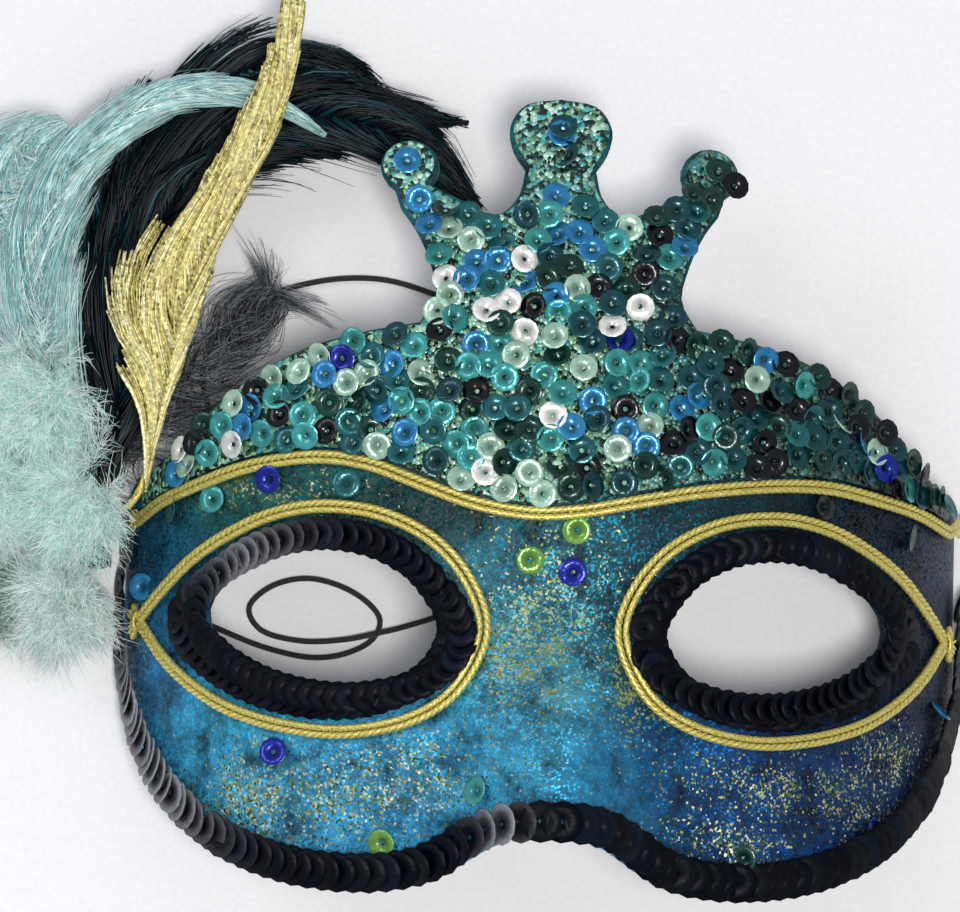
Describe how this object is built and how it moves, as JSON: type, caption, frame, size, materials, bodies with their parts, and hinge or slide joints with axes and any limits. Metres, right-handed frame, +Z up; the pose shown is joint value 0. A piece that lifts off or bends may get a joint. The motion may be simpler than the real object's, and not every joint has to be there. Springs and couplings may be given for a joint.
{
  "type": "venetian masquerade mask",
  "caption": "Sequined half mask with a three-pronged crown, gold braid, a feather plume at one temple and a thin elastic, lying on its back.",
  "frame": {"origin": "middle of the underside of the whole object as it lies on its back, without the loose elastic", "axes": "+Z up, the way the face looks; +Y towards the crown; +X towards the wearer's left temple, away from the plume"},
  "size_m": [0.2172, 0.1744, 0.0712],
  "materials": {
    "painted_shell": "glitter paint over moulded sheet",
    "felt": "pressed felt",
    "sequin_cloth": "cup sequins over seed glitter",
    "gold_braid": "metallic thread",
    "strung_sequins": "glossy film",
    "elastic": "braided over rubber",
    "gold_feather": "glittered feather",
    "coque_feather": "iridescent feather",
    "ostrich_feather": "dyed feather",
    "marabou_fluff": "down",
    "olive_fluff": "down",
    "thread": "wound thread"
  },
  "bodies": {
    "mask": {"mask_shell": "painted_shell", "felt_lining": "felt", "sequin_cloth": "sequin_cloth", "brow_braid": "gold_braid", "brow_braid_curl": "gold_braid", "eye_braid_left": "gold_braid", "eye_braid_right": "gold_braid", "eye_braid_tie_left": "gold_braid", "eye_braid_tie_right": "gold_braid", "eye_sequin_trim_left": "strung_sequins", "eye_sequin_trim_right": "strung_sequins", "edge_sequin_trim": "strung_sequins", "felt_patch_left": "felt", "felt_patch_right": "felt", "elastic_knot_left": "elastic", "elastic_knot_right": "elastic", "elastic_cord": "elastic", "plume_base": "felt", "quill_binding": "thread", "marabou_tuft_upper": "marabou_fluff", "marabou_tuft_outer": "marabou_fluff", "marabou_tuft_inner": "marabou_fluff", "marabou_tuft_lower": "marabou_fluff", "olive_tuft": "olive_fluff"},
    "gold_feather": {"gold_feather_vane": "gold_feather", "gold_feather_quill": "gold_feather"},
    "coque_spray": {"coque_feather_outer": "coque_feather", "coque_feather_inner": "coque_feather", "coque_feather_short": "coque_feather", "coque_down": "coque_feather"},
    "ostrich_plume": {"ostrich_plume_upper": "ostrich_feather", "ostrich_plume_middle": "ostrich_feather", "ostrich_plume_lower": "ostrich_feather"}
  },
  "joints": [
    {"name": "gold_feather_sway", "type": "hinge", "parent": "mask", "child": "gold_feather", "pos_m": [-0.06475, -0.01358, 0.014], "axis": [0, -0.1191, 0.9929], "range_deg": [-5, 5], "stiffness_Nm_per_rad": 0.02},
    {"name": "coque_spray_sway", "type": "hinge", "parent": "mask", "child": "coque_spray", "pos_m": [-0.06475, -0.01358, 0.014], "axis": [0, -0.1191, 0.9929], "range_deg": [-6, 6], "stiffness_Nm_per_rad": 0.03},
    {"name": "ostrich_plume_sway", "type": "hinge", "parent": "mask", "child": "ostrich_plume", "pos_m": [-0.06475, -0.01358, 0.014], "axis": [0, -0.1191, 0.9929], "range_deg": [-6, 6], "stiffness_Nm_per_rad": 0.03}
  ]
}
